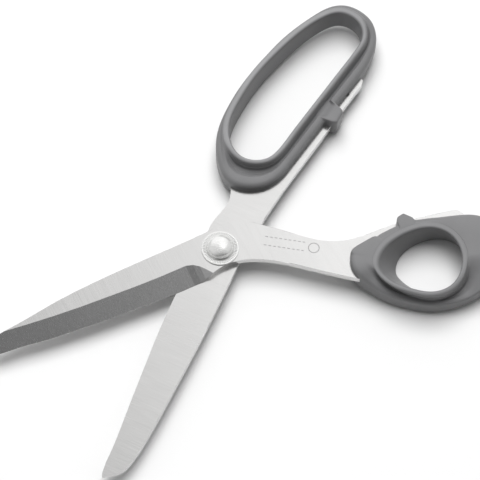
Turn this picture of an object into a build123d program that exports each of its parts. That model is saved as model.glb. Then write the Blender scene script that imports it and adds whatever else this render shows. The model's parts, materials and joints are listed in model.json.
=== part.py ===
from build123d import *
import math
import os

os.makedirs("parts", exist_ok=True)

# Frame: origin on the pivot axis at table height, +Z up, +X along the finger blade.
# The thumb half is drawn in its closed position and turned open by OPEN_ANGLE.

# ---- driving dimensions, mm -------------------------------------------------
OPEN_ANGLE = 38.6          # opening between the blades as stored
BLADE_T = 2.5              # thickness of both blades
FINGER_Z = 4.0             # underside of the finger blade
BLADE_GAP = 0.05           # air between the ride faces
EDGE_LAND = 0.15           # thickness left at the cutting edge

FINGER_TOP = FINGER_Z + BLADE_T
THUMB_Z = FINGER_TOP + BLADE_GAP
THUMB_TOP = THUMB_Z + BLADE_T

BOLT_R = 3.0               # M6 shank
BORE_R = 3.05              # bore in the finger blade, running fit
FLAT_HALF = 2.6            # half distance across the shank's two flats
FLAT_SLOT_HALF = 2.65      # the same in the thumb blade's hole
HEAD_R = 4.65
HEAD_RISE = 2.6            # top of the dome above the serrated washer
NECK_R = 4.0
NECK_H = 0.55

SERRATED_R = 6.75
SERRATED_T = 0.45
SERRATIONS = 60
GLIDE_R = 6.0
GLIDE_T = 0.42
GLIDE_SINK = 0.39          # depth of the recess in the finger blade
SPRING_R = 5.4
SPRING_T = 0.65
NUT_R = 5.5
NUT_TOP = 3.3
NUT_BASE_T = 0.8
SPANNER_R = 0.7
SPANNER_PCD_R = 3.9
SPANNER_DEPTH = 1.6

HANDLE_H = 13.0            # table to the crest of the raised ring
FLANGE_H = 10.6            # table to the top of the finger handle's flange
THUMB_FLANGE_H = 12.6      # the thumb ring's flange, before its slope
THUMB_FLANGE_DROP = 0.09   # fall of the thumb flange per mm away from the tang
LINER_W = 2.2              # width of the raised rings
LOOP_LIFT_X = -50.0        # the finger loop's underside curves up from the table here
LOOP_LIFT = 3.9            # to this height
LOOP_END_X = -115.0        # just past the loop's far end
RING_ROUND = 0.95          # rounding of their crests
THUMB_RING_ROUND = 0.8     # the same on the slanting thumb ring
FLANGE_ROUND = 1.6
BASE_ROUND = 3.0           # lower edge of the handles' outer walls

BEVEL_RUNOUT_X = 6.4       # where the ground bevel starts behind the blade
BEVEL_SLOPE = 0.34


# ---- planes and small helpers -----------------------------------------------
def level(z, turn=0.0):
    """Horizontal plane at height z, its x axis turned about Z."""
    a = math.radians(turn)
    return Plane(origin=(0, 0, z), x_dir=(math.cos(a), math.sin(a), 0), z_dir=(0, 0, 1))


def station(x, turn=0.0):
    """Upright plane across a blade at distance x: local x is Y, local y is Z."""
    a = math.radians(turn)
    c, s = math.cos(a), math.sin(a)
    return Plane(origin=(x * c, x * s, 0), x_dir=(-s, c, 0), z_dir=(c, s, 0))


def grown(points, distance):
    """Closed ring of points moved along its outward normals."""
    out = []
    count = len(points)
    for i in range(count):
        ax, ay = points[i - 1]
        bx, by = points[(i + 1) % count]
        tx, ty = bx - ax, by - ay
        size = math.hypot(tx, ty)
        x, y = points[i]
        out.append((x + distance * ty / size, y - distance * tx / size))
    return out


def between(table, x):
    """Straight-line value of a table of (x, y) pairs."""
    for (x0, y0), (x1, y1) in zip(table, table[1:]):
        if x0 <= x <= x1:
            return y0 + (y1 - y0) * (x - x0) / (x1 - x0)
    return table[-1][1] if x > table[-1][0] else table[0][1]


def curved(edge):
    """Whether an edge is anything but a straight line."""
    return edge.geom_type != GeomType.LINE


THUMB = -OPEN_ANGLE

# ---- outlines ---------------------------------------------------------------
# finger blade, from the tip along the spine to the tang and back on the edge
FINGER_SPINE = [(94.7, 0.0), (93.4, 1.8), (90.0, 4.9), (85.0, 6.6), (75.0, 7.7), (50.0, 8.4),
                (30.0, 8.6), (10.0, 8.3), (-10.0, 8.3), (-25.0, 9.5), (-40.0, 11.5),
                (-60.0, 14.7), (-75.0, 16.8), (-84.0, 18.3)]
FINGER_TANG_END = [(-84.0, 18.3), (-87.3, 17.6), (-86.0, 14.6)]
FINGER_TANG_INNER = [(-86.0, 14.6), (-82.0, 13.5), (-70.0, 11.3), (-60.0, 9.5), (-50.0, 7.8),
                     (-42.0, 6.4), (-37.0, 3.4), (-34.0, -1.0), (-32.0, -6.0), (-25.3, -7.6)]
FINGER_HEEL = [(-25.3, -7.6), (-23.0, -6.6), (-20.0, -5.9), (-16.0, -6.2), (-10.0, -7.5),
               (-6.0, -7.6), (8.0, -7.1)]
FINGER_EDGE = [(8.0, -7.1), (22.0, -7.1), (30.0, -6.8), (40.0, -6.1), (50.0, -5.1),
               (60.0, -4.1), (70.0, -3.0), (80.0, -1.9), (88.0, -1.4), (92.0, -1.1), (94.7, 0.0)]
FINGER_BEVEL_W = [(14.0, 7.3), (40.0, 7.1), (60.0, 7.0), (80.0, 6.8), (95.0, 6.8)]

# thumb blade, closed position
THUMB_EDGE = [(93.9, -0.3), (90.0, 0.9), (80.0, 2.3), (70.0, 3.9), (60.0, 5.1), (50.0, 6.1),
              (40.0, 6.9), (30.0, 7.6), (20.0, 8.0), (8.0, 8.0)]
THUMB_CROOK = [(8.0, 8.0), (-6.6, 8.1), (-13.7, 11.8), (-24.2, 20.3), (-36.4, 30.9),
               (-38.5, 32.6)]
THUMB_TANG_INNER = [(-38.5, 32.6), (-41.3, 33.2), (-43.2, 29.6), (-46.0, 26.2), (-51.0, 24.0),
                    (-60.0, 22.9), (-68.0, 23.4), (-74.0, 25.4), (-79.0, 27.6), (-84.6, 29.6)]
THUMB_TANG_END = [(-84.6, 29.6), (-84.6, 26.6), (-83.0, 23.9)]
THUMB_TANG_OUTER = [(-83.0, 23.9), (-75.8, 22.2), (-69.7, 20.9), (-60.6, 19.2), (-48.5, 18.3),
                    (-42.4, 17.3), (-36.4, 14.8), (-30.3, 10.3), (-24.2, 4.2), (-18.2, -1.5),
                    (-14.3, -5.0), (-9.1, -7.9), (-4.6, -8.2)]
THUMB_SPINE = [(-4.6, -8.2), (30.0, -8.1), (50.0, -7.8), (63.0, -6.9), (75.6, -5.4),
               (84.0, -4.7), (89.5, -3.7), (92.6, -2.0), (93.9, -0.3)]
THUMB_BEVEL_W = [(14.0, 7.3), (30.0, 7.3), (50.0, 7.1), (63.0, 7.0), (80.0, 6.8), (95.0, 6.8)]

# finger loop: outer outline and hole, both anticlockwise
FINGER_BODY = [(-25.3, -7.4), (-25.6, -3.6), (-27.2, 0.5), (-30.4, 4.6), (-35.8, 7.5),
               (-43.0, 9.1), (-52.0, 10.7), (-60.0, 12.1), (-66.0, 13.2), (-72.0, 14.1),
               (-80.0, 15.6), (-88.0, 17.1), (-96.0, 17.5), (-104.0, 16.1), (-109.8, 12.2),
               (-112.6, 6.0), (-112.6, -0.6), (-109.5, -5.2), (-102.3, -9.8), (-89.3, -15.6),
               (-76.6, -18.9), (-63.9, -21.3), (-52.0, -21.9), (-43.1, -21.1), (-35.0, -18.1),
               (-28.6, -13.0)]
FINGER_HOLE = [(-35.7, -6.7), (-36.4, -3.2), (-39.4, 0.9), (-44.0, 2.8), (-52.0, 4.15),
               (-65.0, 6.3), (-82.0, 9.2), (-94.6, 11.3), (-101.4, 11.2), (-105.2, 8.6),
               (-107.2, 4.4), (-106.8, -0.5), (-102.9, -4.8), (-94.3, -9.7), (-82.5, -14.0),
               (-68.8, -17.4), (-56.0, -18.5), (-45.5, -17.5), (-38.6, -13.2)]
FINGER_NUB = [(-71.4, 13.0), (-70.9, 16.2), (-69.7, 17.5), (-64.6, 17.4), (-63.9, 16.4),
              (-63.6, 12.0)]

# thumb ring, closed position, both anticlockwise
THUMB_BODY = [(-38.9, 32.6), (-40.4, 34.9), (-42.9, 39.3), (-46.6, 43.9), (-51.4, 48.4),
              (-57.3, 52.6), (-65.4, 55.5), (-72.6, 56.1), (-80.5, 54.6), (-87.0, 50.4),
              (-91.0, 44.0), (-91.9, 37.0), (-89.7, 31.4), (-84.2, 27.9), (-77.0, 25.2),
              (-69.8, 22.8), (-62.8, 21.2), (-54.0, 21.1), (-45.5, 21.8), (-40.4, 23.2),
              (-38.6, 26.6)]
THUMB_HOLE_TOP = [(-46.1, 35.0), (-48.4, 41.0), (-52.6, 45.7), (-59.0, 50.2), (-66.0, 50.6),
                  (-71.9, 46.7), (-75.2, 40.9), (-75.4, 34.8), (-72.0, 29.2), (-65.4, 26.3),
                  (-57.0, 26.2), (-49.4, 29.0)]
THUMB_HOLE_LOW = [(-54.4, 35.0), (-55.9, 39.8), (-58.9, 44.3), (-64.0, 48.5), (-70.4, 49.0),
                  (-76.1, 45.8), (-79.2, 40.3), (-79.7, 34.6), (-76.0, 29.3), (-69.8, 26.9),
                  (-62.0, 27.2), (-56.4, 30.4)]
THUMB_NUB = [(-59.6, 24.0), (-61.1, 19.2), (-61.9, 18.4), (-64.4, 18.0), (-65.2, 19.0),
             (-70.2, 25.6)]


def bevel_sections(edge, widths, top, bottom, side, turn):
    """Cross sections of what grinding takes off, from the runout to the tip.

    side is +1 for an edge on +Y and -1 on -Y; top is the face that is ground,
    bottom the ride face that the cutting edge stays on.
    """
    up = 1 if top > bottom else -1
    full = BLADE_T - EDGE_LAND
    runout = [(0.0, 0.15), (1.6, 2.6), (3.2, 4.9), (5.2, 6.5), (7.6, 7.3)]
    sections = []
    for along, width in runout:
        x = BEVEL_RUNOUT_X + along
        sections.append((x, side * between(edge, x) - width, BEVEL_SLOPE * full / BLADE_T))
    for x in (24, 34, 44, 54, 64, 74, 84, 96):
        width = between(widths, x)
        sections.append((x, side * between(edge, x) - width, full / width))
    faces = []
    reach = 14.0
    for x, start, slope in sections:
        with BuildSketch(station(x, turn)) as cut:
            with BuildLine():
                Polyline(
                    (side * start, top),
                    (side * (start + reach), top - up * slope * reach),
                    (side * (start + reach), top + up * 3),
                    (side * start, top + up * 3),
                    close=True,
                )
            make_face()
        faces.append(cut.sketch)
    return faces


# ---- finger blade with its tang ---------------------------------------------
with BuildPart() as finger_blade:
    with BuildSketch(level(FINGER_Z)):
        with BuildLine():
            Spline(*FINGER_SPINE)
            Spline(*FINGER_TANG_END)
            Spline(*FINGER_TANG_INNER)
            Spline(*FINGER_HEEL)
            Spline(*FINGER_EDGE)
        make_face()
    extrude(amount=BLADE_T)
    ground = bevel_sections(FINGER_EDGE, FINGER_BEVEL_W, FINGER_Z, FINGER_TOP, -1, 0)
    loft(ground, ruled=True, mode=Mode.SUBTRACT)
    with BuildSketch(level(FINGER_Z)):
        Circle(BORE_R)
        with Locations((-30.0, 0.5)):
            Circle(2.0)
        with Locations((-79.0, 15.0)):
            Circle(0.9)
    extrude(amount=BLADE_T, mode=Mode.SUBTRACT)
    with BuildSketch(level(FINGER_TOP)):
        Circle(GLIDE_R + 0.1)
    extrude(amount=-GLIDE_SINK, mode=Mode.SUBTRACT)
finger_blade.part.label = "finger_blade"

# ---- thumb blade with its cranked arm ---------------------------------------
with BuildPart() as thumb_blade:
    with BuildSketch(level(THUMB_Z, THUMB)):
        with BuildLine():
            Spline(*THUMB_EDGE)
            Spline(*THUMB_CROOK)
            Spline(*THUMB_TANG_INNER)
            Spline(*THUMB_TANG_END)
            Spline(*THUMB_TANG_OUTER)
            Spline(*THUMB_SPINE)
        make_face()
    extrude(amount=BLADE_T)
    ground = bevel_sections(THUMB_EDGE[::-1], THUMB_BEVEL_W, THUMB_TOP, THUMB_Z, 1, THUMB)
    loft(ground, ruled=True, mode=Mode.SUBTRACT)
    with BuildSketch(level(THUMB_Z, THUMB)):
        Circle(BORE_R)
        Rectangle(4 * BOLT_R, 2 * FLAT_SLOT_HALF, mode=Mode.INTERSECT)
    extrude(amount=BLADE_T, mode=Mode.SUBTRACT)
    with BuildSketch(level(THUMB_Z, THUMB)):
        with Locations((-42.3, 26.6)):
            Circle(1.5)
    extrude(amount=BLADE_T, mode=Mode.SUBTRACT)
thumb_blade.part.label = "thumb_blade"

# ---- finger handle ----------------------------------------------------------
with BuildPart(mode=Mode.PRIVATE) as loop_lift:
    with BuildSketch(Plane.XZ):
        with BuildLine():
            TangentArc((LOOP_LIFT_X, 0), (LOOP_END_X, LOOP_LIFT), tangent=(-1, 0))
            Polyline(
                (LOOP_END_X, LOOP_LIFT),
                (LOOP_END_X, -5),
                (LOOP_LIFT_X, -5),
                (LOOP_LIFT_X, 0),
            )
        make_face()
    extrude(amount=40, both=True)

with BuildPart() as finger_handle_body:
    with BuildSketch(level(0)):
        with BuildLine():
            Spline(*FINGER_BODY, periodic=True)
        make_face()
    extrude(amount=FLANGE_H)
    fillet(finger_handle_body.edges().filter_by(GeomType.BSPLINE).group_by(Axis.Z)[-1], FLANGE_ROUND)
    add(loop_lift.part, mode=Mode.SUBTRACT)
    under = [e for e in finger_handle_body.edges() if e.bounding_box().max.Z < 5 and curved(e)]
    fillet(under, BASE_ROUND)
    with BuildSketch(level(1.5)):
        with BuildLine():
            Polyline(*FINGER_NUB, close=True)
        make_face()
    extrude(amount=FLANGE_H - 0.2 - 1.5)
    with BuildSketch(level(0)):
        with BuildLine():
            Spline(*grown(FINGER_HOLE, LINER_W), periodic=True)
        make_face()
    extrude(amount=HANDLE_H, mode=Mode.SUBTRACT)
    add(finger_blade.part, mode=Mode.SUBTRACT)
finger_handle_body.part.label = "finger_handle_body"

with BuildPart() as finger_grip_liner:
    with BuildSketch(level(0)):
        with BuildLine():
            Spline(*grown(FINGER_HOLE, LINER_W), periodic=True)
        make_face()
        with BuildLine():
            Spline(*FINGER_HOLE, periodic=True)
        make_face(mode=Mode.SUBTRACT)
    extrude(amount=HANDLE_H)
    fillet(finger_grip_liner.edges().group_by(Axis.Z)[-1], RING_ROUND)
    add(loop_lift.part, mode=Mode.SUBTRACT)
    under = [e for e in finger_grip_liner.edges() if e.bounding_box().max.Z < 5 and curved(e)]
    fillet(under, RING_ROUND)
finger_grip_liner.part.label = "finger_grip_liner"

# ---- thumb handle -----------------------------------------------------------
def thumb_ring_core(distance):
    """Lower and upper mouth of the slanting thumb hole, grown by a distance."""
    mouths = []
    for z, outline in ((0, THUMB_HOLE_LOW), (HANDLE_H, THUMB_HOLE_TOP)):
        with BuildSketch(level(z, THUMB)) as mouth:
            with BuildLine():
                Spline(*grown(outline, distance), periodic=True)
            make_face()
        mouths.append(mouth.sketch)
    return mouths


with BuildPart() as thumb_grip_liner:
    loft(thumb_ring_core(LINER_W))
    loft(thumb_ring_core(0), mode=Mode.SUBTRACT)
    fillet(thumb_grip_liner.edges().group_by(Axis.Z)[-1], THUMB_RING_ROUND)
    fillet(thumb_grip_liner.edges().group_by(Axis.Z)[0], THUMB_RING_ROUND)
thumb_grip_liner.part.label = "thumb_grip_liner"

with BuildPart() as thumb_handle_body:
    with BuildSketch(level(0, THUMB)):
        with BuildLine():
            Spline(*THUMB_BODY, periodic=True)
        make_face()
    extrude(amount=THUMB_FLANGE_H)
    with BuildSketch(station(-100, THUMB)):
        with BuildLine():
            Polyline(
                (16.0, THUMB_FLANGE_H),
                (62.0, THUMB_FLANGE_H - 46.0 * THUMB_FLANGE_DROP),
                (62.0, THUMB_FLANGE_H + 3),
                (16.0, THUMB_FLANGE_H + 3),
                close=True,
            )
        make_face()
    extrude(amount=80, mode=Mode.SUBTRACT)
    fillet(thumb_handle_body.faces().sort_by(Axis.Z)[-1].edges(), FLANGE_ROUND)
    fillet(thumb_handle_body.edges().group_by(Axis.Z)[0], BASE_ROUND)
    with BuildSketch(level(2.6, THUMB)):
        with BuildLine():
            Polyline(*THUMB_NUB, close=True)
        make_face()
    extrude(amount=12.0 - 2.6)
    loft(thumb_ring_core(LINER_W), mode=Mode.SUBTRACT)
    add(thumb_blade.part, mode=Mode.SUBTRACT)
thumb_handle_body.part.label = "thumb_handle_body"

# ---- pivot ------------------------------------------------------------------
SERRATED_TOP = THUMB_TOP + SERRATED_T
DOME_Z = SERRATED_TOP + NECK_H + 0.85

with BuildPart() as serrated_washer:
    with BuildSketch(level(THUMB_TOP)):
        Circle(SERRATED_R)
        Circle(BOLT_R + 0.15, mode=Mode.SUBTRACT)
    extrude(amount=SERRATED_T)
    with BuildSketch(level(SERRATED_TOP)):
        with PolarLocations(5.75, SERRATIONS):
            Rectangle(1.1, 0.22)
    extrude(amount=-0.16, mode=Mode.SUBTRACT)
serrated_washer.part.label = "serrated_washer"

with BuildPart() as pivot_bolt:
    with BuildSketch(Plane.XZ):
        with BuildLine():
            Polyline(
                (0, NUT_BASE_T + 0.2),
                (BOLT_R - 0.4, NUT_BASE_T + 0.2),
                (BOLT_R, NUT_BASE_T + 0.6),
                (BOLT_R, SERRATED_TOP),
                (NECK_R, SERRATED_TOP),
                (NECK_R, SERRATED_TOP + NECK_H),
                (HEAD_R - 0.15, SERRATED_TOP + NECK_H),
                (HEAD_R, SERRATED_TOP + NECK_H + 0.15),
                (HEAD_R, SERRATED_TOP + NECK_H + 0.75),
                (HEAD_R - 0.3, DOME_Z),
            )
            TangentArc(
                (0, SERRATED_TOP + HEAD_RISE),
                (HEAD_R - 0.3, DOME_Z),
                tangent=(1, 0),
            )
            Line((0, SERRATED_TOP + HEAD_RISE), (0, NUT_BASE_T + 0.2))
        make_face()
    revolve(axis=Axis.Z)
    with BuildSketch(level(THUMB_Z, THUMB)):
        Circle(BOLT_R + 1)
        Rectangle(4 * BOLT_R, 2 * FLAT_HALF, mode=Mode.SUBTRACT)
    extrude(amount=BLADE_T, mode=Mode.SUBTRACT)
pivot_bolt.part.label = "pivot_bolt"

with BuildPart() as glide_washer:
    with BuildSketch(level(FINGER_TOP - GLIDE_SINK)):
        Circle(GLIDE_R)
        Circle(BOLT_R + 0.35, mode=Mode.SUBTRACT)
    extrude(amount=GLIDE_T)
glide_washer.part.label = "glide_washer"

with BuildPart() as spring_washer:
    with BuildSketch(Plane.XZ):
        with BuildLine():
            Polyline(
                (BOLT_R + 0.35, FINGER_Z - SPRING_T),
                (SPRING_R, FINGER_Z - SPRING_T + 0.2),
                (SPRING_R, FINGER_Z),
                (SPRING_R - 0.8, FINGER_Z),
                (BOLT_R + 0.35, FINGER_Z - 0.2),
                close=True,
            )
        make_face()
    revolve(axis=Axis.Z)
spring_washer.part.label = "spring_washer"

with BuildPart() as pivot_nut:
    with BuildSketch(level(0)):
        Circle(NUT_R)
    extrude(amount=NUT_TOP)
    chamfer(pivot_nut.edges().group_by(Axis.Z)[0], 0.4)
    with BuildSketch(level(NUT_BASE_T)):
        Circle(BORE_R)
    extrude(amount=NUT_TOP, mode=Mode.SUBTRACT)
    with BuildSketch(level(0)):
        with PolarLocations(SPANNER_PCD_R + 0.35, 2):
            Circle(SPANNER_R)
    extrude(amount=SPANNER_DEPTH, mode=Mode.SUBTRACT)
pivot_nut.part.label = "pivot_nut"

# ---- files ------------------------------------------------------------------
export_step(finger_blade.part, "parts/finger_blade.step")
export_step(thumb_blade.part, "parts/thumb_blade.step")
export_step(finger_handle_body.part, "parts/finger_handle_body.step")
export_step(finger_grip_liner.part, "parts/finger_grip_liner.step")
export_step(thumb_handle_body.part, "parts/thumb_handle_body.step")
export_step(thumb_grip_liner.part, "parts/thumb_grip_liner.step")
export_step(pivot_bolt.part, "parts/pivot_bolt.step")
export_step(serrated_washer.part, "parts/serrated_washer.step")
export_step(glide_washer.part, "parts/glide_washer.step")
export_step(spring_washer.part, "parts/spring_washer.step")
export_step(pivot_nut.part, "parts/pivot_nut.step")
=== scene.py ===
import json
import math

import bmesh
import bpy
import numpy as np
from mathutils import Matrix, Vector
from mathutils.bvhtree import BVHTree


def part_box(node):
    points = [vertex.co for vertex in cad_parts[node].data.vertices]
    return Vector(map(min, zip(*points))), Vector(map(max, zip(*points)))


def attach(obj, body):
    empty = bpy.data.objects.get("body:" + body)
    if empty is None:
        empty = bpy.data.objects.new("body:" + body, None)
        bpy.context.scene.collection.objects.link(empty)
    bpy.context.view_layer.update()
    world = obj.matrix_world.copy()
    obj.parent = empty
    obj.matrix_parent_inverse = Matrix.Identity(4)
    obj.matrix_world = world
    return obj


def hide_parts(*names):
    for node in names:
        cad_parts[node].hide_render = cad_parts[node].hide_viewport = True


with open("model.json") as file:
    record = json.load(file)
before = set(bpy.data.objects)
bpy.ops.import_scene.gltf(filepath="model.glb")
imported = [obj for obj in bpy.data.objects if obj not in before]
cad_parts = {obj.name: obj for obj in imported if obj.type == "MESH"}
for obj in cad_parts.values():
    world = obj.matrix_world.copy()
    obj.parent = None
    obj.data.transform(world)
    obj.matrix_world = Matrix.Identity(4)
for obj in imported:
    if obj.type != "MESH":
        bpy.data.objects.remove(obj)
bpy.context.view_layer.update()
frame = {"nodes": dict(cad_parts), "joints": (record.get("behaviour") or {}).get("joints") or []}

MM = 0.001
NODES = frame["nodes"]

# ---------------------------------------------------------------------------
# sizes read from the CAD frame
# ---------------------------------------------------------------------------
THUMB_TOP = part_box("thumb_blade")[1].z
RING_LO, RING_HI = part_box("serrated_washer")
BOLT_LO, BOLT_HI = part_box("pivot_bolt")
GRIP_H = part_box("finger_grip_liner")[1].z
CLOSED_SHORT = 0.1             # degrees by which the pivot's travel ends before the blades line up
OPEN = math.radians(CLOSED_SHORT - min(frame["joints"][0]["range_deg"]))


# ---------------------------------------------------------------------------
# outlines: horizontal cuts through the CAD nodes
# ---------------------------------------------------------------------------
def mesh_arrays(node):
    me = NODES[node].data
    me.calc_loop_triangles()
    co = np.zeros(len(me.vertices) * 3)
    me.vertices.foreach_get("co", co)
    tri = np.zeros(len(me.loop_triangles) * 3, np.int64)
    me.loop_triangles.foreach_get("vertices", tri)
    return co.reshape(-1, 3), tri.reshape(-1, 3)


def cut_loops(node, z):
    """Closed outlines where a CAD node crosses height z, longest first."""
    co, tri = mesh_arrays(node)
    h = co[:, 2] - z
    h[np.abs(h) < 1e-9] = 1e-9
    side = h[tri] > 0
    links = {}
    for t in tri[(side.any(1)) & (~side.all(1))]:
        ends = []
        for a, b in ((t[0], t[1]), (t[1], t[2]), (t[2], t[0])):
            if (h[a] > 0) == (h[b] > 0):
                continue
            if tuple(co[a]) > tuple(co[b]):
                a, b = b, a
            p = co[a] + (co[b] - co[a]) * (h[a] / (h[a] - h[b]))
            ends.append((round(p[0] * 1e7), round(p[1] * 1e7)))
        if len(ends) == 2 and ends[0] != ends[1]:
            links.setdefault(ends[0], []).append(ends[1])
            links.setdefault(ends[1], []).append(ends[0])
    loops, used = [], set()
    for start in links:
        if start in used:
            continue
        loop, here, came = [start], start, None
        used.add(start)
        while True:
            ahead = [n for n in links[here] if n != came and n not in used]
            if not ahead:
                break
            came, here = here, ahead[0]
            used.add(here)
            loop.append(here)
        loops.append(np.array(loop, float) * 1e-7)
    loops = [p for p in loops if len(p) > 8]
    for i, p in enumerate(loops):
        if signed_area(p) < 0:
            loops[i] = p[::-1]
    return sorted(loops, key=lambda p: -abs(signed_area(p)))


def signed_area(p):
    q = np.roll(p, -1, 0)
    return 0.5 * float(np.sum(p[:, 0] * q[:, 1] - q[:, 0] * p[:, 1]))


def spread(loop, count, toward):
    """Loop resampled to evenly spaced points, starting on the side facing toward."""
    first = int(np.argmax(loop @ np.array(toward)))
    p = np.roll(loop, -first, 0)
    p = np.vstack([p, p[:1]])
    d = np.concatenate([[0], np.cumsum(np.hypot(*np.diff(p, axis=0).T))])
    at = np.arange(count) / count * d[-1]
    return np.stack([np.interp(at, d, p[:, i]) for i in (0, 1)], -1)


def smoothed(p, width):
    """Closed run of values, averaged with a bell of that many neighbours."""
    reach = int(3 * width) + 1
    k = np.exp(-0.5 * (np.arange(-reach, reach + 1) / width) ** 2)
    k /= k.sum()
    out = np.zeros_like(p)
    for i, weight in zip(range(-reach, reach + 1), k):
        out += weight * np.roll(p, i, 0)
    return out


def outward(p):
    t = np.roll(p, -1, 0) - np.roll(p, 1, 0)
    t /= np.hypot(*t.T)[:, None]
    return np.stack([t[:, 1], -t[:, 0]], -1)


def reach_to(p, n, outline):
    """Distance from each point along its normal to an outline."""
    a, b = outline, np.roll(outline, -1, 0)
    e = b - a
    out = np.zeros(len(p))
    for i in range(len(p)):
        den = n[i, 0] * e[:, 1] - n[i, 1] * e[:, 0]
        den[np.abs(den) < 1e-15] = 1e-15
        r = a - p[i]
        t = (r[:, 0] * e[:, 1] - r[:, 1] * e[:, 0]) / den
        s = (r[:, 0] * n[i, 1] - r[:, 1] * n[i, 0]) / den
        ok = (t > 1e-5) & (s >= -1e-6) & (s <= 1 + 1e-6)
        out[i] = t[ok].min() if ok.any() else np.nan
    bad = np.isnan(out)
    if bad.any():
        k = np.arange(len(out))
        out[bad] = np.interp(k[bad], k[~bad], out[~bad])
    return out


def ease(x):
    x = np.clip(x, 0, 1)
    return x * x * (3 - 2 * x)


# ---------------------------------------------------------------------------
# mesh makers
# ---------------------------------------------------------------------------
WELD = 0.03 * MM               # CAD points closer than this are one
FLAT_WITHIN = 0.4              # degrees between faces that count as one flat face
EASED_FROM = 25                # degrees between faces whose edge is eased
SHARP_FROM = 32                # degrees between faces that are shaded apart
GROUND_FROM = 3                # the same between two ground faces


def new_piece(name, verts, faces):
    me = bpy.data.meshes.new(name)
    me.from_pydata([tuple(v) for v in verts], [], faces)
    me.validate()
    me.update()
    ob = bpy.data.objects.new(name, me)
    bpy.context.scene.collection.objects.link(ob)
    me.polygons.foreach_set("use_smooth", [True] * len(me.polygons))
    return ob


def tube_of_sections(name, sections):
    """Closed band mesh: sections[k][j] is point j of cross section k."""
    s = np.asarray(sections)
    count, points = s.shape[:2]
    faces = []
    for k in range(count):
        k2 = (k + 1) % count
        for j in range(points):
            j2 = (j + 1) % points
            faces.append((k * points + j, k2 * points + j, k2 * points + j2, k * points + j2))
    ob = new_piece(name, s.reshape(-1, 3), faces)
    face_out(ob)
    return ob


def face_out(ob):
    bm = bmesh.new()
    bm.from_mesh(ob.data)
    bmesh.ops.recalc_face_normals(bm, faces=bm.faces)
    bm.to_mesh(ob.data)
    bm.free()


def turned(name, profile, steps=128):
    """Closed body of revolution round the pivot axis, from (r, z) points that start and end on it."""
    verts, faces, rows = [], [], []
    for r, z in profile:
        if r < 1e-9:
            rows.append([len(verts)])
            verts.append((0, 0, z))
        else:
            rows.append(list(range(len(verts), len(verts) + steps)))
            for i in range(steps):
                a = 2 * math.pi * i / steps
                verts.append((r * math.cos(a), r * math.sin(a), z))
    for lower, upper in zip(rows, rows[1:]):
        for i in range(steps):
            j = (i + 1) % steps
            if len(lower) == 1:
                faces.append((lower[0], upper[i], upper[j]))
            elif len(upper) == 1:
                faces.append((lower[i], lower[j], upper[0]))
            else:
                faces.append((lower[i], lower[j], upper[j], upper[i]))
    ob = new_piece(name, verts, faces)
    face_out(ob)
    return ob


def from_node(name, node, ease_by, least_wall=0.0, merge=True):
    """A copy of a CAD node with its flat faces merged and its sharp edges eased.

    A flat face with more than one hole in it is left unmerged, with merge off.
    Edges beside a wall lower than least_wall, such as a cutting edge, stay sharp.
    """
    ob = bpy.data.objects.new(name, NODES[node].data.copy())
    bpy.context.scene.collection.objects.link(ob)
    bm = bmesh.new()
    bm.from_mesh(ob.data)
    bmesh.ops.remove_doubles(bm, verts=bm.verts, dist=WELD)
    if merge:
        bmesh.ops.dissolve_limit(bm, angle_limit=math.radians(FLAT_WITHIN), verts=bm.verts, edges=bm.edges)
    bm.normal_update()

    def low(face):
        z = [v.co.z for v in face.verts]
        return abs(face.normal.z) < 0.5 and max(z) - min(z) < least_wall

    sharp = [
        e for e in bm.edges
        if len(e.link_faces) == 2
        and e.calc_face_angle() > math.radians(EASED_FROM)
        and not any(low(f) for f in e.link_faces)
    ]
    bmesh.ops.bevel(
        bm, geom=sharp, offset=ease_by, offset_type="OFFSET", segments=2,
        profile=0.5, affect="EDGES", clamp_overlap=False,
    )
    bm.to_mesh(ob.data)
    bm.free()
    ob.data.materials.clear()
    ob.data.polygons.foreach_set("use_smooth", [True] * len(ob.data.polygons))
    ob.data.set_sharp_from_angle(angle=math.radians(SHARP_FROM))
    part_ground_faces(ob.data)
    mod = ob.modifiers.new("normals", "WEIGHTED_NORMAL")
    mod.keep_sharp = True
    mod.weight = 100
    return ob


def part_ground_faces(me):
    """Mark the line between two upward or two downward faces as crisp."""
    faces_of = {}
    for p in me.polygons:
        if abs(p.normal.z) > 0.5:
            for key in p.edge_keys:
                faces_of.setdefault(key, []).append(p.normal)
    for e in me.edges:
        pair = faces_of.get(tuple(sorted(e.vertices)), [])
        if len(pair) == 2 and pair[0].angle(pair[1]) > math.radians(GROUND_FROM):
            e.use_edge_sharp = True


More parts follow.
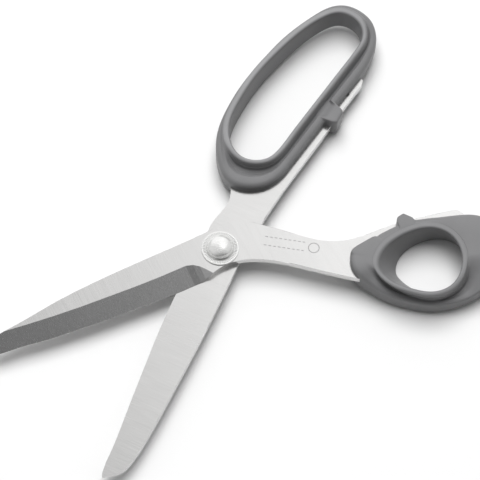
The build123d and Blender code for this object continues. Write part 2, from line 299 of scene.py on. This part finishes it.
# ---------------------------------------------------------------------------
# materials
# ---------------------------------------------------------------------------
class Nodes:
    """Small helper round one material's node tree."""

    def __init__(self, name):
        self.mat = bpy.data.materials.new(name)
        self.mat.use_nodes = True
        self.tree = self.mat.node_tree
        self.tree.nodes.clear()
        self.out = self.add("ShaderNodeOutputMaterial")
        self.bsdf = self.add("ShaderNodeBsdfPrincipled")
        self.link(self.bsdf.outputs[0], self.out.inputs[0])
        self.coord = self.add("ShaderNodeTexCoord").outputs["Object"]

    def add(self, kind, **settings):
        node = self.tree.nodes.new(kind)
        for key, value in settings.items():
            setattr(node, key, value)
        return node

    def link(self, a, b):
        self.tree.links.new(a, b)

    def mapped(self, stretch=(1, 1, 1), turn=0.0, place=(0, 0, 0)):
        """Coordinates measured from place, along axes turned about z, in units of stretch."""
        m = self.add("ShaderNodeMapping", vector_type="TEXTURE")
        m.inputs["Location"].default_value = place
        m.inputs["Rotation"].default_value = (0, 0, turn)
        m.inputs["Scale"].default_value = stretch
        self.link(self.coord, m.inputs["Vector"])
        return m.outputs[0]

    def noise(self, vector, scale, detail=2.0, rough=0.5):
        n = self.add("ShaderNodeTexNoise")
        n.inputs["Scale"].default_value = scale
        n.inputs["Detail"].default_value = detail
        n.inputs["Roughness"].default_value = rough
        self.link(vector, n.inputs["Vector"])
        return n.outputs[0]

    def spread(self, value, lo, hi, frm=(0.3, 0.7)):
        m = self.add("ShaderNodeMapRange")
        m.inputs["From Min"].default_value = frm[0]
        m.inputs["From Max"].default_value = frm[1]
        m.inputs["To Min"].default_value = lo
        m.inputs["To Max"].default_value = hi
        self.link(value, m.inputs["Value"])
        return m.outputs[0]

    def math(self, op, a, b=None, c=None):
        m = self.add("ShaderNodeMath", operation=op)
        for socket, value in zip(m.inputs, (a, b, c)):
            if value is None:
                continue
            if isinstance(value, (int, float)):
                socket.default_value = value
            else:
                self.link(value, socket)
        return m.outputs[0]

    def ramp(self, value, stops):
        r = self.add("ShaderNodeValToRGB")
        while len(r.color_ramp.elements) < len(stops):
            r.color_ramp.elements.new(0.5)
        for e, (at, shade) in zip(r.color_ramp.elements, stops):
            e.position = at
            e.color = (*shade, 1) if isinstance(shade, tuple) else (shade, shade, shade, 1)
        self.link(value, r.inputs[0])
        return r.outputs[0]

    def multiplied(self, colour, by):
        mix = self.add("ShaderNodeMix", data_type="RGBA", blend_type="MULTIPLY")
        mix.inputs["Factor"].default_value = 1.0
        self.link(colour, mix.inputs[6])
        self.link(by, mix.inputs[7])
        return mix.outputs[2]

    def height(self):
        z = self.add("ShaderNodeSeparateXYZ")
        self.link(self.coord, z.inputs[0])
        return z.outputs[2]

    def bump(self, height, distance, strength):
        b = self.add("ShaderNodeBump")
        b.inputs["Strength"].default_value = strength
        b.inputs["Distance"].default_value = distance
        self.link(height, b.inputs["Height"])
        return b.outputs[0]

    def set(self, **values):
        for key, value in values.items():
            socket = self.bsdf.inputs[key.replace("_", " ")]
            if hasattr(value, "is_linked"):
                self.link(value, socket)
            else:
                socket.default_value = value


def moulded_plastic(name, shade, rough, highlight_share=0.0):
    """Grained plastic; the ring's crest is painted lighter by a share, a painted highlight, and is
    smoother.
    """
    n = Nodes(name)
    cloud = n.noise(n.mapped(), 60, 3)
    fine = n.noise(n.mapped(), 5200, 2, 0.6)
    dark, light = (tuple(c * k for c in shade) for k in (0.93, 1.07))
    colour = n.ramp(n.spread(cloud, 0, 1), [(0.0, dark), (1.0, light)])
    roughness = n.spread(fine, rough - 0.06, rough + 0.08)
    # painted highlight: near the top of the ring the colour keeps the full shade, lower down it is darkened
    # by the share, patchy by a noise
    if highlight_share:
        crest_highlight = n.spread(n.height(), 0, 1, (GRIP_H - 0.55 * MM, GRIP_H - 0.03 * MM))
        patchy_highlight = n.math("MULTIPLY", crest_highlight, n.spread(n.noise(n.mapped(), 110, 3), 0.8, 1.0))
        colour = n.multiplied(colour, n.ramp(patchy_highlight, [(0.0, 1 - highlight_share), (1.0, 1.0)]))
        roughness = n.math("MULTIPLY_ADD", patchy_highlight, -0.06, roughness)
    n.set(Base_Color=colour, Roughness=roughness, Normal=n.bump(fine, 0.00001, 0.35))
    return n.mat


def ground_steel(name, shade, rough, turn, streak, bump=0.35, metal=1.0, contrast=0.03, mark=False):
    """Steel with fine grinding lines across the blade.

    turn is the blade's angle in the frame, streak the lines per metre, and mark adds the motif.
    """
    n = Nodes(name)
    lines = n.noise(n.mapped((1, 30, 1), turn), streak, 3, 0.65)
    broad = n.noise(n.mapped((1, 8, 1), turn), streak * 0.2, 2, 0.5)
    cloud = n.noise(n.mapped(), 45, 2)
    both = n.math("MULTIPLY_ADD", broad, 0.25, n.math("MULTIPLY", lines, 0.75))
    dark, light = (tuple(min(1, c * k) for c in shade) for k in (1 - contrast, 1 + contrast))
    colour = n.ramp(n.spread(both, 0, 1), [(0.0, dark), (1.0, light)])
    roughness = n.math("ADD", n.spread(lines, rough - 0.04, rough + 0.04), n.spread(cloud, -0.015, 0.015))
    if mark:
        etched = etched_motif(n, turn + MOTIF_TURN)
        tone = n.ramp(etched, [(0.0, 1.0), (1.0, 0.72)])
        colour = n.multiplied(colour, tone)
        roughness = n.math("MULTIPLY_ADD", etched, 0.18, roughness)
    n.set(Base_Color=colour, Metallic=metal, Roughness=roughness, Normal=n.bump(lines, 0.000004, bump))
    return n.mat


def etched_motif(n, turn):
    """Mask of a plain etched motif on the thumb arm: two rows of stitches and a ring."""
    place = n.add("ShaderNodeSeparateXYZ")
    n.link(n.mapped(turn=turn, place=MOTIF_AT), place.inputs[0])
    x, y = place.outputs[0], place.outputs[1]

    def inside(value, half):
        return n.math("LESS_THAN", n.math("ABSOLUTE", value), half)

    dash = n.math("LESS_THAN", n.math("FRACT", n.math("DIVIDE", x, DASH_PITCH)), DASH_SHARE)
    rows = [
        n.math("MULTIPLY", inside(n.math("SUBTRACT", y, at), MOTIF_LINE / 2), dash)
        for at in (-ROW_APART / 2, ROW_APART / 2)
    ]
    length = inside(n.math("ADD", x, ROW_SHIFT), ROW_LENGTH / 2)
    rows = n.math("MULTIPLY", n.math("ADD", *rows), length)
    dx = n.math("SUBTRACT", x, CIRCLE_AT)
    far = n.math("SQRT", n.math("ADD", n.math("MULTIPLY", dx, dx), n.math("MULTIPLY", y, y)))
    ring = inside(n.math("SUBTRACT", far, CIRCLE_R), CIRCLE_LINE / 2)
    top = n.math("GREATER_THAN", n.height(), THUMB_TOP - 0.05 * MM)
    return n.math("MULTIPLY", n.math("MAXIMUM", rows, ring), top)


# the etched motif, on axes of its own
MOTIF_LINE = 0.32 * MM
DASH_PITCH, DASH_SHARE = 1.7 * MM, 0.62
ROW_APART = 3.4 * MM
ROW_LENGTH, ROW_SHIFT = 15.2 * MM, 1.6 * MM
CIRCLE_AT, CIRCLE_R, CIRCLE_LINE = 9.4 * MM, 1.9 * MM, 0.34 * MM
MOTIF_X, MOTIF_Y = -22.5 * MM, 9.2 * MM    # its middle, with the shears closed
MOTIF_TURN = math.radians(144)
MOTIF_AT = (
    MOTIF_X * math.cos(OPEN) + MOTIF_Y * math.sin(OPEN),
    -MOTIF_X * math.sin(OPEN) + MOTIF_Y * math.cos(OPEN),
    0,
)

STEEL = (0.812, 0.808, 0.802)
GREY = (0.166, 0.166, 0.169)
BEVEL = (0.65, 0.65, 0.65)
M_FINGER_FLAT = ground_steel("finger_blade_flat", STEEL, 0.23, 0.0, 2300, contrast=0.055)
M_FINGER_BEVEL = ground_steel("finger_blade_bevel", BEVEL, 0.24, 0.0, 2600, contrast=0.08)
M_THUMB_FLAT = ground_steel("thumb_blade_flat", STEEL, 0.23, -OPEN, 2300, contrast=0.055, mark=True)
M_THUMB_BEVEL = ground_steel("thumb_blade_bevel", BEVEL, 0.24, -OPEN, 2600, contrast=0.08)
M_PIVOT = ground_steel("pivot_steel", (0.92, 0.92, 0.91), 0.25, 0.4, 2500, 0.1, metal=0.8)
# a darker steel for the notch bottoms of the serrated washer: painted shade in the notches
M_PAINTED_NOTCH_SHADE = ground_steel("knurl_painted_shade", (0.45, 0.45, 0.45), 0.45, 0.4, 2500, 0.1)
M_BODY = moulded_plastic("handle_grey", GREY, 0.42)
# each ring's shade is lighter than GREY by the share of its painted crest highlight, so that away from the
# crest it comes back to GREY
M_FINGER_RING = moulded_plastic("finger_ring_grey", tuple(c / 0.66 for c in GREY), 0.46, 0.34)
M_THUMB_RING = moulded_plastic("thumb_ring_grey", tuple(c / 0.88 for c in GREY), 0.46, 0.12)
M_NYLON = moulded_plastic("glide_nylon", (0.8, 0.79, 0.74), 0.35)


# ---------------------------------------------------------------------------
# handles
# ---------------------------------------------------------------------------
RING_W = 2.3 * MM          # where the raised ring's outer wall goes down inside the shell
CREST_U = 0.95 * MM        # from the hole's wall to the crest of the ring
CREST_DROP = 1.15 * MM     # height of the crest's rounding on the hole side
NUB_SPAN = 12 * MM         # a bump on a shell's outline narrower than this is the bumper
TOP_CUT = 1.3 * MM         # the hole's outline is taken this far below the crest
LOW_CUT = 5.2 * MM         # and again at this height above the table


def corner(cx, cz, rx, rz, a0, a1, count):
    """Points of an elliptical rounding, between two angles in degrees."""
    out = []
    for i in range(count):
        a = math.radians(a0 + (a1 - a0) * i / (count - 1))
        out.append((cx + rx * math.cos(a), cz + rz * math.sin(a)))
    return out


def flowing(points, per=4):
    """Catmull-Rom curve through the points, without its last one."""
    p = np.array([points[0], *points, points[-1]], float)
    out = []
    for i in range(1, len(p) - 2):
        a, b, c, d = p[i - 1], p[i], p[i + 1], p[i + 2]
        for j in range(per):
            t = j / per
            out.append(tuple(0.5 * (
                2 * b + (c - a) * t + (2 * a - 5 * b + 4 * c - d) * t * t + (3 * b - a - 3 * c + d) * t ** 3
            )))
    return out


def opened(values, reach):
    """A closed run of values without its narrow bumps."""
    low = np.min([np.roll(values, i) for i in range(-reach, reach + 1)], 0)
    return np.max([np.roll(low, i) for i in range(-reach, reach + 1)], 0)


def underside(node, points):
    """Height of a node's underside above the table at each point."""
    bm = bmesh.new()
    bm.from_mesh(NODES[node].data)
    tree = BVHTree.FromBMesh(bm)
    bm.free()
    out = np.full(len(points), np.nan)
    for i, (x, y) in enumerate(points):
        hit = tree.ray_cast(Vector((x, y, -MM)), Vector((0, 0, 1)))[0]
        if hit is not None and hit.z < 0.5 * GRIP_H:
            out[i] = hit.z
    bad = np.isnan(out)
    k = np.arange(len(out))
    out[bad] = np.interp(k[bad], k[~bad], out[~bad])
    return out


def build_handle(which, body_node, liner_node, toward, stations, cut_z, nub_side, shape_of):
    """The shell and the raised ring of one handle, as two closed band meshes."""
    h = GRIP_H
    top = smoothed(spread(cut_loops(liner_node, h - TOP_CUT)[-1], stations, toward), 2.5)
    low = smoothed(spread(cut_loops(liner_node, LOW_CUT)[-1], stations, toward), 2.5)
    n = smoothed(outward(top), 2)
    n /= np.hypot(*n.T)[:, None]
    slope = (top - low) / (h - TOP_CUT - LOW_CUT)
    full = reach_to(top, n, cut_loops(body_node, cut_z)[0])
    pace = float(np.mean(np.hypot(*(np.roll(top, -1, 0) - top).T)))
    bumped = n @ np.array(nub_side) > 0.75
    plain = smoothed(np.where(bumped, opened(full, int(NUB_SPAN / 2 / pace)), full), 4)
    nub = np.clip(full - plain, 0, None)
    nub = smoothed(np.where(nub > 0.3 * MM, nub, 0), 0.7)
    ring_mid = top - slope * (h - TOP_CUT) + n * RING_W * 0.5
    floor_z = smoothed(underside(liner_node, ring_mid), 6)
    ring_out, shell_out = [], []
    for k in range(stations):
        def at(u, z, share=0.0):
            """Point u outward; share is how far it belongs to the plumb outer wall."""
            inner = top[k] + slope[k] * (z - h + TOP_CUT)
            spot = inner * (1 - share) + top[k] * share + n[k] * u
            return (spot[0], spot[1], z)

        wide = plain[k] + nub[k]
        z0 = floor_z[k]
        is_nub = float(ease(nub[k] / (0.8 * MM)))
        rim_at = top[k] + n[k] * plain[k]
        bead, zf, zg, zs, rim_round, nub_round = shape_of(n[k], plain[k] - RING_W, rim_at)
        ro = min(rim_round, 0.5 * (plain[k] - RING_W) + 0.4 * MM) * (1 - is_nub) + nub_round * is_nub
        rb = min(3.0 * MM, 0.6 * (plain[k] - 0.5 * MM))

        # crest, groove and flange, between a ring that stands alone and one that merges
        flat = wide - ro
        gap = flat - RING_W
        foot = RING_W + 0.3 * MM
        rest = flat - foot
        alone = [
            (CREST_U + 0.5 * MM, h - 0.16 * MM), (CREST_U + 0.95 * MM, h - 0.7 * MM),
            (RING_W, h * 0.45 + zg * 0.55), (RING_W + 0.22 * MM, zg + 0.5 * MM),
            (foot + 0.12 * rest, zg + 0.08 * MM), (foot + 0.3 * rest, zg + 0.05 * MM),
            (foot + 0.6 * rest, zf - 0.12 * (zf - zg)), (foot + 0.84 * rest, zf), (flat, zf - 0.05 * MM),
        ]
        merged = [(CREST_U + 0.5 * MM, h - 0.03 * MM), (CREST_U + 0.95 * MM, h - 0.1 * MM)]
        merged += [
            (RING_W + g * gap, h - 0.2 * MM - (h - 0.2 * MM - zs) * g ** 1.5)
            for g in (0, 0.1, 0.25, 0.4, 0.62, 0.84, 1)
        ]
        crown = [
            (a[0] * bead + b[0] * (1 - bead), a[1] * bead + b[1] * (1 - bead))
            for a, b in zip(alone, merged)
        ]
        edge_z = crown[-1][1]
        line = flowing([(CREST_U, h)] + crown)
        split = 12                      # the point of the curve where ring and shell part
        su, sz = line[split]

        # raised ring
        ring = corner(CREST_U, h - CREST_DROP, CREST_U, CREST_DROP, 180, 96, 9)
        ring += line[:split + 1]
        ring += [(su, sz - 0.02 * MM), (su, sz * 0.7 + z0 * 0.3), (su, sz * 0.4 + z0 * 0.6)]
        ring += [(su, z0 + 0.95 * MM)]
        ring += corner(su - 0.95 * MM, z0 + 0.95 * MM, 0.95 * MM, 0.95 * MM, 0, -90, 7)
        ring += corner(0.95 * MM, z0 + 0.95 * MM, 0.95 * MM, 0.95 * MM, 270, 180, 8)
        ring += [(0.0, z0 + (h - CREST_DROP - z0) * g) for g in (0.2, 0.35, 0.5, 0.65, 0.8)]
        ring_out.append([at(u, z) for u, z in ring])

        # shell
        rim = [(wide - ro + ro * math.sin(a), edge_z - ro + ro * math.cos(a))
               for a in (math.radians(d) for d in (0, 12, 24, 36, 48, 60, 72, 84))]
        shell = [(su, z0 + 0.8 * MM), (su, sz * 0.4 + z0 * 0.6)]
        shell += [(su, sz * 0.7 + z0 * 0.3), (su, sz - 0.02 * MM)]
        shell += line[split:]
        shell += rim
        wall_top, wall_low = edge_z - ro, z0 + rb
        shell += [(wide, wall_top + (wall_low - wall_top) * g) for g in (0.12, 0.3, 0.5, 0.7, 0.88)]
        shell += corner(wide - rb, z0 + rb, rb, rb, 0, -90, 10)
        shell += [(su + (wide - rb - su) * 0.4 + 0.05 * MM, z0), (su + 0.05 * MM, z0 + 0.05 * MM)]
        shell_out.append([at(u, z, float(ease((u - su) / max(wide - su, 1e-6) * 1.5))) for u, z in shell])
    return (
        tube_of_sections(which + "_handle_shell", shell_out),
        tube_of_sections(which + "_grip_ring", ring_out),
    )


def finger_shape(n, f, edge):
    """Shape of the finger loop's rim at one place.

    How far the ring stands alone, heights of flange, groove and merged edge, and
    rounding of the rim and of the bumper.
    """
    bead = float(ease((n[0] * 0.64 + n[1] * 0.76 + 0.25) / 0.75))
    wide = float(ease((f - 2.0 * MM) / (4.5 * MM)))
    zf = (10.6 - 0.3 * wide) * MM
    zg = zf - (0.5 + 1.25 * wide) * MM
    return bead, zf, zg, 11.2 * MM, 2.0 * MM, 1.0 * MM


THUMB_AXIS = (math.cos(-OPEN), math.sin(-OPEN))


def thumb_shape(n, f, edge):
    """Nearly level with the ring on the tang side, falling to a low ledge on the other."""
    along = n[0] * THUMB_AXIS[0] + n[1] * THUMB_AXIS[1]
    side = -n[0] * THUMB_AXIS[1] + n[1] * THUMB_AXIS[0]
    bead = float(ease((along * 0.45 + side * 0.89 + 0.1) / 0.7))
    across = -edge[0] * THUMB_AXIS[1] + edge[1] * THUMB_AXIS[0]
    fall = float(ease((across - 26 * MM) / (22 * MM)))
    zf = (12.1 - 4.7 * fall) * MM
    zg = zf - (0.5 - 0.1 * fall) * MM
    return bead, zf, zg, 12.3 * MM, (2.0 - 1.1 * fall) * MM, 0.4 * MM


finger_body, finger_ring = build_handle(
    "finger", "finger_handle_body", "finger_grip_liner", (1, 0), 560, 8.0 * MM, (0, 1), finger_shape
)
thumb_body, thumb_ring = build_handle(
    "thumb", "thumb_handle_body", "thumb_grip_liner", THUMB_AXIS, 440, 6.4 * MM,
    (THUMB_AXIS[1], -THUMB_AXIS[0]), thumb_shape
)
for ob, mat, body, node, slot in (
    (finger_body, M_BODY, "finger_half", "finger_handle_body", "handle_plastic"),
    (finger_ring, M_FINGER_RING, "finger_half", "finger_grip_liner", "grip_ring"),
    (thumb_body, M_BODY, "thumb_half", "thumb_handle_body", "handle_plastic"),
    (thumb_ring, M_THUMB_RING, "thumb_half", "thumb_grip_liner", "grip_ring"),
):
    ob.data.materials.append(mat)
    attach(ob, body)
    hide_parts(node)


# ---------------------------------------------------------------------------
# blades
# ---------------------------------------------------------------------------
def build_blade(name, node, body, flat, bevel, ground_up):
    ob = from_node(name, node, 0.1 * MM, 1.0 * MM)
    ob.data.materials.append(flat)
    ob.data.materials.append(bevel)
    for p in ob.data.polygons:
        nz = p.normal.z * (1 if ground_up else -1)
        p.material_index = 1 if 0.5 < nz < 0.985 else 0
    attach(ob, body)
    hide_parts(node)
    return ob


build_blade("finger_blade_steel", "finger_blade", "finger_half", M_FINGER_FLAT, M_FINGER_BEVEL, False)
build_blade("thumb_blade_steel", "thumb_blade", "thumb_half", M_THUMB_FLAT, M_THUMB_BEVEL, True)


# ---------------------------------------------------------------------------
# pivot
# ---------------------------------------------------------------------------
def serrated_ring():
    """Washer with radial serrations in its face and a groove beside the bolt's head; the bottom of each
    notch gets a darker material, a painted shade.
    """
    r_out = RING_HI.x
    z0, z1 = RING_LO.z, RING_HI.z
    groove = BOLT_HI.x - 0.05 * MM
    teeth, per = 60, 8
    steps = teeth * per
    cut = 0.14 * MM
    rows = [
        (3.2 * MM, z0, 0), (3.2 * MM, z1 - 0.03 * MM, 0), (3.3 * MM, z1, 0), (groove, z1, 0),
        (groove + 0.03 * MM, z1 - 0.3 * MM, 0), (groove + 0.33 * MM, z1 - 0.3 * MM, 0),
        (groove + 0.38 * MM, z1, 0), (5.15 * MM, z1, 0),
        (5.25 * MM, z1, 1), (5.7 * MM, z1, 1), (6.1 * MM, z1, 1),
        (6.25 * MM, z1, 0.15), (6.35 * MM, z1, 0), (r_out - 0.12 * MM, z1, 0),
        (r_out - 0.04 * MM, z1 - 0.03 * MM, 0), (r_out, z1 - 0.12 * MM, 0), (r_out, z0, 0),
    ]
    verts, faces = [], []
    for r, z, deep in rows:
        for i in range(steps):
            a = 2 * math.pi * i / steps
            notch = max(0.0, 1 - abs((i % per) / per * 2 - 1) * 2)
            verts.append((r * math.cos(a), r * math.sin(a), z - cut * deep * notch))
    count = len(rows)
    for j in range(count):
        j2 = (j + 1) % count
        for i in range(steps):
            i2 = (i + 1) % steps
            faces.append((j * steps + i, j * steps + i2, j2 * steps + i2, j2 * steps + i))
    ob = new_piece("serrated_ring", verts, faces)
    face_out(ob)
    ob.data.materials.append(M_PIVOT)
    ob.data.materials.append(M_PAINTED_NOTCH_SHADE)
    # painted shade: the faces at the bottom of each notch take the darker material
    cut_rows = [j for j, row in enumerate(rows[:-1]) if row[2] == 1 and rows[j + 1][2] == 1]
    for j in cut_rows:
        for i in range(steps):
            if i % per == 4:
                ob.data.polygons[j * steps + i].material_index = 1
    return ob


def bolt():
    z = RING_HI.z
    rim = BOLT_HI.x
    crown = BOLT_HI.z
    neck = 4.0 * MM
    foot = BOLT_LO.z
    prof = [(0, foot), (2.5 * MM, foot), (2.9 * MM, foot + 0.4 * MM), (2.95 * MM, z - 0.1 * MM)]
    prof += [(2.95 * MM, z), (neck, z), (neck, z + 0.4 * MM), (neck + 0.1 * MM, z + 0.55 * MM)]
    prof += [(rim - 0.18 * MM, z + 0.56 * MM), (rim - 0.05 * MM, z + 0.62 * MM), (rim, z + 0.74 * MM)]
    prof += [(rim, z + 1.02 * MM), (rim - 0.04 * MM, z + 1.13 * MM), (rim - 0.16 * MM, z + 1.2 * MM)]
    prof += [(rim - 0.28 * MM, z + 1.18 * MM), (rim - 0.3 * MM, z + 1.0 * MM)]
    prof += [(rim - 0.42 * MM, z + 1.0 * MM)]
    base = z + 1.3 * MM
    r0 = rim - 0.43 * MM
    for i in range(0, 15):
        t = i / 14
        a = t * math.pi / 2
        prof.append((r0 * math.cos(a), base + (crown - base) * math.sin(a) ** 0.92))
    prof[-1] = (0, crown)
    return turned("domed_bolt", prof)


def with_look(ob, mat):
    ob.data.materials.append(mat)
    return ob


PIVOT_PIECES = (
    (serrated_ring(), "thumb_half", "serrated_washer", "pivot_steel"),
    (with_look(bolt(), M_PIVOT), "thumb_half", "pivot_bolt", "pivot_steel"),
    (
        with_look(from_node("nut_round", "pivot_nut", 0.08 * MM, merge=False), M_PIVOT),
        "tension_nut", "pivot_nut", "pivot_steel",
    ),
    (
        with_look(from_node("spring_disc", "spring_washer", 0.06 * MM), M_PIVOT),
        "finger_half", "spring_washer", "pivot_steel",
    ),
    (
        with_look(from_node("glide_disc", "glide_washer", 0.05 * MM), M_NYLON),
        "finger_half", "glide_washer", "glide_plastic",
    ),
)
for ob, body, node, slot in PIVOT_PIECES:
    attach(ob, body)
    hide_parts(node)

# ---------------------------------------------------------------------------
# floor, light and camera
# ---------------------------------------------------------------------------
F = 3.0                        # half the floor's width, m
floor_me = bpy.data.meshes.new("floor")
floor_me.from_pydata([(-F, -F, 0), (F, -F, 0), (F, F, 0), (-F, F, 0)], [], [(0, 1, 2, 3)])
floor = bpy.data.objects.new("floor", floor_me)
bpy.context.scene.collection.objects.link(floor)
m = Nodes("floor_white")
m.set(Base_Color=(0.74, 0.74, 0.74, 1), Roughness=0.9)
floor.data.materials.append(m.mat)

AIM = Vector((-6.1 * MM, 5.0 * MM, 9.0 * MM))


def softbox(name, azimuth, elevation, distance, size, power):
    """Area light; azimuth is measured from +X towards +Y, like a compass on the table."""
    a, e = math.radians(azimuth), math.radians(elevation)
    data = bpy.data.lights.new(name, "AREA")
    data.shape = "RECTANGLE"
    data.size, data.size_y = size
    data.energy = power
    ob = bpy.data.objects.new(name, data)
    toward = Vector((math.cos(a) * math.cos(e), math.sin(a) * math.cos(e), math.sin(e)))
    ob.location = AIM + distance * toward
    ob.rotation_mode = "QUATERNION"
    ob.rotation_quaternion = (AIM - ob.location).to_track_quat("-Z", "Y")
    bpy.context.scene.collection.objects.link(ob)
    ob.visible_glossy = False


softbox("key", 208, 69, 1.5, (1.0, 1.2), 26)

FILL = 0.3                     # level of the room all round
LOBES = [
    # azimuth, elevation, full inside, nothing outside (degrees), strength
    (184, 66, 4, 14, 0.68),
    (212, 33, 10, 40, 0.62),
    (140, 40, 10, 55, 0.3),
    (300, 40, 15, 60, 0.3),
    (25, 38, 15, 62, -0.2),    # darker, on the camera's side
]


def studio_world():
    """Even room with soft brighter and darker areas, as a function of direction."""
    world = bpy.data.worlds.new("studio")
    bpy.context.scene.world = world
    world.use_nodes = True
    tree = world.node_tree
    back = tree.nodes["Background"]
    back.inputs["Color"].default_value = (1, 1, 1, 1)
    where = tree.nodes.new("ShaderNodeTexCoord").outputs["Generated"]
    total = None
    for az, el, inside, outside, level in LOBES:
        a, e = math.radians(az), math.radians(el)
        dot = tree.nodes.new("ShaderNodeVectorMath")
        dot.operation = "DOT_PRODUCT"
        dot.inputs[1].default_value = (math.cos(a) * math.cos(e), math.sin(a) * math.cos(e), math.sin(e))
        tree.links.new(where, dot.inputs[0])
        fade = tree.nodes.new("ShaderNodeMapRange")
        fade.interpolation_type = "SMOOTHSTEP"
        fade.inputs["From Min"].default_value = math.cos(math.radians(outside))
        fade.inputs["From Max"].default_value = math.cos(math.radians(inside))
        fade.inputs["To Max"].default_value = level
        tree.links.new(dot.outputs["Value"], fade.inputs["Value"])
        plus = tree.nodes.new("ShaderNodeMath")
        plus.inputs[0].default_value = FILL
        if total is not None:
            tree.links.new(total, plus.inputs[0])
        tree.links.new(fade.outputs[0], plus.inputs[1])
        total = plus.outputs[0]
    tree.links.new(total, back.inputs["Strength"])


studio_world()

bpy.context.scene.view_settings.view_transform = "Standard"

cam_data = bpy.data.cameras.new("camera")
cam = bpy.data.objects.new("camera", cam_data)
bpy.context.scene.collection.objects.link(cam)
CAM_AZ, CAM_EL, CAM_DIST = math.radians(114.9), math.radians(63.5), 760 * MM
VIEW_WIDTH = 172.043 * MM      # width of the view where the camera aims
SENSOR = 36
level = math.cos(CAM_EL)
back = Vector((math.sin(CAM_AZ) * level, -math.cos(CAM_AZ) * level, math.sin(CAM_EL)))
cam.location = AIM + back * CAM_DIST
cam.rotation_mode = "QUATERNION"
cam.rotation_quaternion = (-back).to_track_quat("-Z", "Y")
cam_data.sensor_width = SENSOR
cam_data.lens = SENSOR * CAM_DIST / VIEW_WIDTH
cam_data.clip_start, cam_data.clip_end = 0.02, 20
bpy.context.scene.camera = cam
